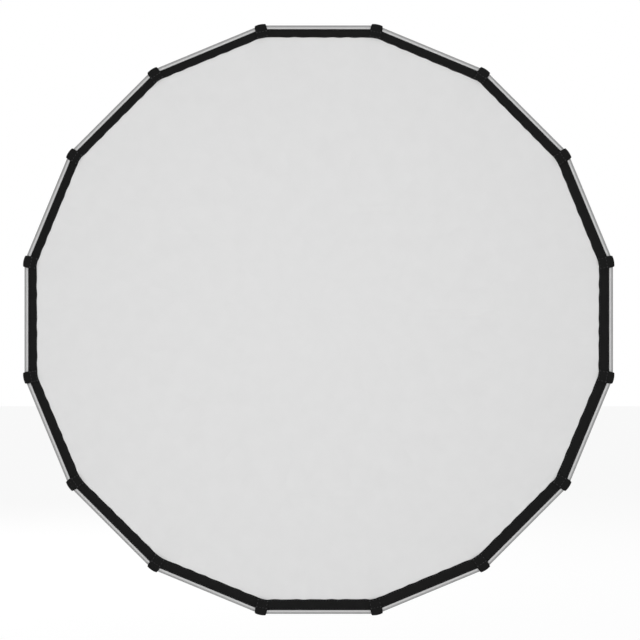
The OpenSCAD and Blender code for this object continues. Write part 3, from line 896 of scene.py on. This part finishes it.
for k, number in enumerate(numbers):
    rows = []
    stitch_rows = [[], []]
    for u in border_u:
        azimuth = side_azimuth(k) + u * half_pitch
        inner = border_inner(azimuth)
        row = []
        for share, height in border_profile:
            out = border_out + (inner - border_out) * share
            row.append((out, u * out * math.tan(half_pitch), border_back + height * border_t))
        rows.append(row)
        for line, share in zip(stitch_rows, (0.12, 0.88)):
            out = border_out + (inner - border_out) * share
            line.append((out, 0.995 * u * out * math.tan(half_pitch), border_back + 0.50 * border_t))
    border = new_strip(
        f"border_tape_{number}", rows,
        lambda r, c: (
            border_u[r] * border_out * math.tan(half_pitch),
            border_profile[c % len(border_profile)][0] * border_width,
        ),
        [woven_tape], closed=True, ends=True,
    )
    border.data.transform(standing(side_azimuth(k)))
    turn_out(border)
    thread = sewn(f"border_stitches_{number}", stitch_rows, side_azimuth(k))
    sideways = side_direction(k)
    for piece in (border, thread):
        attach(piece, f"gore_{number}")
        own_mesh(piece)
    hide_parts(f"gore_{number}")

# ---------------------------------------------------------------------------------------------
# Tip pockets: short straps of webbing folded over each corner of the rim and sewn down in front
# and behind, which hold the rod's cap. The fold stays straight, so its ends stand past the corner.
pocket_half = 0.0090
pocket_t = 0.0011
pocket_z = rim_z + 0.0025
pocket_path = [
    (0.4345, pocket_z, 0.0, 1.00), (0.4375, pocket_z + 0.0001, 0.0, 1.00),
    (0.4408, pocket_z + 0.0006, 0.0, 1.00), (0.4442, pocket_z + 0.0013, 0.2, 1.00),
    (0.4472, pocket_z + 0.0013, 0.5, 0.98), (0.4492, pocket_z + 0.0003, 0.8, 0.93),
    (0.4502, pocket_z - 0.0018, 1.0, 0.84), (0.4503, pocket_z - 0.0045, 0.8, 0.88),
    (0.4496, pocket_z - 0.0075, 0.4, 0.96),
]
pocket_crown = 0.0012
pocket_offset = 0.0066
pocket_back = np.linspace(arc_length - 0.0115, arc_length - 0.048, 10)
pocket_aside = np.array([-1, -0.93, -0.6, -0.25, 0.25, 0.6, 0.93, 1]) * pocket_half
box_in = 0.0018
for k, number in enumerate(numbers):
    # The front end cuts across the corner of the border's inner edge
    pocket_front = border_inner(rib_azimuth(k)) / math.cos(half_pitch) - 0.0009
    rows = []
    for out, forward, crown, width in [
        (pocket_front, pocket_z, 0.0, 1.00), (pocket_front + 0.0025, pocket_z, 0.0, 1.00), *pocket_path
    ]:
        rows.append([
            (out + crown * pocket_crown * (1 - (aside / pocket_half) ** 2), aside * width, forward)
            for aside in pocket_aside
        ])
    rows += [[bowl_point(s, aside, pocket_offset) for aside in pocket_aside] for s in pocket_back]
    pocket = new_strip(
        f"tip_pocket_{number}", rows, lambda r, c: (pocket_aside[c], r * 0.0036), [woven_tape]
    )
    pocket.data.transform(standing(rib_azimuth(k)))
    smooth = pocket.modifiers.new("smooth", "SUBSURF")
    smooth.levels = smooth.render_levels = 1
    smooth.boundary_smooth = "PRESERVE_CORNERS"
    settle(pocket)
    thicken(pocket, pocket_t)
    side_in = pocket_half - box_in
    front_z = pocket_z + pocket_t / 2 + 0.0001
    front_run = [(pocket_front + box_in, 0), (0.4375, 0.0001), (0.4400, 0.0005)]
    lines = [[(out, t, front_z + rise) for out, rise in front_run] for t in (-side_in, side_in)]
    lines += [
        [(out, -side_in, front_z + rise), (out, side_in, front_z + rise)]
        for out, rise in (front_run[0], front_run[-1])
    ]
    lift = pocket_offset + pocket_t / 2 + 0.0001
    back_end, back_start = pocket_back[-1] + box_in, pocket_back[0] - 0.004
    lines += [
        [bowl_point(s, t, lift) for s in np.linspace(back_end, back_start, 8)] for t in (-side_in, side_in)
    ] + [
        [bowl_point(s, t, lift) for t in np.linspace(-side_in, side_in, 9)] for s in (back_end, back_start)
    ]
    thread = sewn(f"pocket_stitches_{number}", lines, rib_azimuth(k))
    for piece in (pocket, thread):
        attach(piece, f"rib_{number}")
    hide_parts(f"rib_{number}")

# ---------------------------------------------------------------------------------------------
# Front cloth: one taut white polyester cloth, modelled in the sixteen sectors that it folds into.
# Tension from the rim puckers its edge, and it keeps a few faint creases from being stored.
cloth_margin = 0.0015
cloth_out = border_out - border_width + cloth_margin
cloth_t = 0.0005
cloth_mid = rim_z - 0.0003
cloth_bulge = 0.008
pucker_reach = 0.007
cloth_creases = [
    (0.054, 0.110, 0.1645, 0.0005), (0.171, 0.263, 0.0085, 0.0006), (0.092, 0.140, 0.2935, 0.0005),
    (-0.21, -0.13, -0.120, 0.0002), (-0.05, 0.05, -0.262, 0.0002), (-0.24, -0.17, 0.131, 0.0002),
]
crease_half = 0.0032


def billow(x, z):
    """How far the front cloth stands forward of flat, at points seen from the front."""
    r, azimuth = np.hypot(x, z), np.arctan2(z, x)
    side = np.round(azimuth / (2 * half_pitch)) * 2 * half_pitch
    border_edge = border_out - border_width - border_drift * np.cos(azimuth - drift_azimuth)
    inside = border_edge - r * np.cos(azimuth - side)
    near = np.clip(inside, 0, None) / pucker_reach
    grip = near * np.exp(1 - near)
    ripples = np.cos(131 * azimuth + 1.3 * np.sin(7 * azimuth))
    ripples += 0.6 * np.cos(83 * azimuth + 2 * np.sin(5 * azimuth))
    height = cloth_bulge * (1 - (r * math.cos(half_pitch) / cloth_out) ** 2)
    height += grip * (0.00016 * ripples - 0.00035)
    for left, right, level, depth in cloth_creases:
        fade = 1 / (1 + np.exp(-(x - left) / 0.006)) / (1 + np.exp((x - right) / 0.006))
        bend = (z - level - 0.02 * (x - left) ** 2 / (right - left)) / crease_half
        height += depth * fade * bend * np.exp(0.5 - bend ** 2 / 2)
    # Broad uneven tension, barely enough to tell one part of the cloth from another
    height += 0.0006 * np.sin(9 * x + 2) * np.sin(11 * z + 1) * (1 - (r / 0.437) ** 2)
    return height


# Threads in such cloth are taken to be some 0.3 mm apart, an estimate: drawn coarser, to show close up
thread_pitch = 0.0009
diffuser_cloth, tree, shader = finish_of(
    "white_polyester_cloth", "#E2E2E2", 0.8, IOR=1.5, **{"Specular IOR Level": 0.15}
)
flat = add(tree, "ShaderNodeUVMap", uv_map="cloth").outputs["UV"]
warp = add(tree, "ShaderNodeTexWave", {"Vector": flat, "Scale": WAVE / thread_pitch}, bands_direction="X")
weft = add(tree, "ShaderNodeTexWave", {"Vector": flat, "Scale": WAVE / thread_pitch}, bands_direction="Y")
weave = add(tree, "ShaderNodeMath", {0: warp.outputs["Fac"], 1: weft.outputs["Fac"]}, operation="MULTIPLY")
slubs = add(tree, "ShaderNodeTexNoise", {"Vector": flat, "Scale": 1 / 0.03, "Detail": 6.0})
tint = add(tree, "ShaderNodeMix", {
    "Factor": slubs.outputs["Fac"], "A": linear("#DEDEDE"), "B": linear("#E4E4E4"),
}, data_type="RGBA")
relief = add(tree, "ShaderNodeBump", {"Height": weave.outputs["Value"], "Strength": 0.15, "Distance": 0.0001})
tree.links.new(tint.outputs["Result"], shader.inputs["Base Color"])
tree.links.new(relief.outputs["Normal"], shader.inputs["Normal"])

cloth_rows, cloth_columns = 140, 49
row_share = np.linspace(0, 1, cloth_rows + 1)[1:]
column_u = np.linspace(-1, 1, cloth_columns)
layer_size = 1 + cloth_rows * cloth_columns
layer_faces = [(0, 1 + c, 2 + c) for c in range(cloth_columns - 1)]
for r in range(cloth_rows - 1):
    for c in range(cloth_columns - 1):
        first = 1 + r * cloth_columns + c
        layer_faces.append((first, first + cloth_columns, first + cloth_columns + 1, first + 1))
rim_of_layer = (
    [0] + [1 + r * cloth_columns for r in range(cloth_rows)]
    + [1 + (cloth_rows - 1) * cloth_columns + c for c in range(1, cloth_columns)]
    + [1 + r * cloth_columns + cloth_columns - 1 for r in range(cloth_rows - 2, -1, -1)]
)
for k, number in enumerate(numbers):
    # The cloth's edge follows the border, a small margin under it
    azimuths = side_azimuth(k) + np.arctan(column_u * math.tan(half_pitch))
    edge_n = cloth_out - border_drift * np.cos(azimuths - drift_azimuth)
    spots = [(0.0, 0.0)] + [
        (share * reach, u * share * reach * math.tan(half_pitch))
        for share in row_share for reach, u in zip(edge_n, column_u)
    ]
    n, t = np.array(spots).T
    c, s = math.cos(side_azimuth(k)), math.sin(side_azimuth(k))
    x, z = n * c - t * s, n * s + t * c
    forward = cloth_mid + billow(x, z)
    step = 0.0005
    slope_x = (billow(x + step, z) - billow(x - step, z)) / (2 * step)
    slope_z = (billow(x, z + step) - billow(x, z - step)) / (2 * step)
    # Standing forward is -Y
    normals = np.stack([-slope_x, -np.ones_like(x), -slope_z], 1)
    normals /= np.linalg.norm(normals, axis=1)[:, None]
    front = np.stack([x, -(forward + cloth_t / 2), z], 1)
    back = np.stack([x, -(forward - cloth_t / 2), z], 1)
    faces = [tuple(face) for face in layer_faces]
    faces += [tuple(layer_size + v for v in reversed(face)) for face in layer_faces]
    loop = rim_of_layer
    for a, b in zip(loop, loop[1:] + loop[:1]):
        faces.append((a, b, layer_size + b, layer_size + a))
    cloth = new_piece(f"front_cloth_{number}", np.vstack([front, back]), faces, [diffuser_cloth])
    turn_out(cloth)
    cloth_map = cloth.data.uv_layers.new(name="cloth")
    corner_normals = []
    flat_n, flat_t = np.concatenate([n, n]), np.concatenate([t, t])
    both = np.concatenate([normals, -normals])
    for face in cloth.data.polygons:
        facing = face.normal.dot(Vector((0, -1, 0)))
        for corner, vertex in zip(face.loop_indices, face.vertices):
            cloth_map.data[corner].uv = (flat_t[vertex], flat_n[vertex])
            upright = abs(facing) > 0.5
            corner_normals.append(both[vertex] if upright else (0, 0, 0))
    cloth.data.normals_split_custom_set(corner_normals)
    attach(cloth, f"diffuser_{number}")
    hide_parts(f"diffuser_{number}")
    sideways = side_direction(k)
    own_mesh(cloth)

# ---------------------------------------------------------------------------------------------
# Studio: a pale floor below the rim, white all round, one broad soft lamp in front and above, and
# a weaker one behind.
floor_z = -0.60
floor = new_piece("floor", [(-14, -14, floor_z), (14, -14, floor_z), (14, 14, floor_z), (-14, 14, floor_z)],
                  [(0, 1, 2, 3)], [])
floor_paint, tree, shader = finish_of("white_floor_paint", "#F7F7F7", 0.9, IOR=1.45)
seen = add(tree, "ShaderNodeLightPath")
plain = add(tree, "ShaderNodeMath", {0: seen.outputs["Is Camera Ray"], 1: seen.outputs["Is Glossy Ray"]},
            operation="MAXIMUM")
share = add(tree, "ShaderNodeMath", {0: plain.outputs[0], 1: 0.8}, operation="MULTIPLY")
glow = add(tree, "ShaderNodeEmission", {"Color": linear("#FFFFFF"), "Strength": 1.06})
mixed = add(tree, "ShaderNodeMixShader", {0: share.outputs[0], 1: shader.outputs[0], 2: glow.outputs[0]})
tree.links.new(mixed.outputs[0], tree.nodes["Material Output"].inputs["Surface"])
floor.data.materials.append(floor_paint)

world = bpy.data.worlds.new("studio")
world.use_nodes = True
bpy.context.scene.world = world
ambient = 0.45
seen = add(world.node_tree, "ShaderNodeLightPath")
plain = add(world.node_tree, "ShaderNodeMath",
            {0: seen.outputs["Is Camera Ray"], 1: seen.outputs["Is Glossy Ray"]}, operation="MAXIMUM")
plain = add(world.node_tree, "ShaderNodeMath",
            {0: plain.outputs[0], 1: seen.outputs["Is Transmission Ray"]}, operation="MAXIMUM")
level = add(world.node_tree, "ShaderNodeMapRange", {
    "Value": plain.outputs[0], "To Min": ambient, "To Max": 1.0,
})
sky = world.node_tree.nodes["Background"]
sky.inputs["Color"].default_value = linear("#FFFFFF")
world.node_tree.links.new(level.outputs["Result"], sky.inputs["Strength"])

lamps = [
    ("key_lamp", (-0.05, -2.5, 0.18), 1.6, 17.2),
    ("top_lamp", (0.6, -1.0, 3.0), 2.0, 11),
    ("back_lamp", (-1.4, 2.6, 1.8), 2.0, 42),
]
for name, place, size, power in lamps:
    lamp_data = bpy.data.lights.new(name, "AREA")
    lamp_data.shape = "DISK"
    lamp_data.size = size
    lamp_data.energy = power
    lamp = bpy.data.objects.new(name, lamp_data)
    lamp.location = place
    aim = Vector((0, -0.4, 0)) - Vector(place)
    lamp.rotation_euler = aim.to_track_quat("-Z", "Y").to_euler()
    lamp.visible_camera = False
    bpy.context.scene.collection.objects.link(lamp)

bpy.context.view_layer.update()
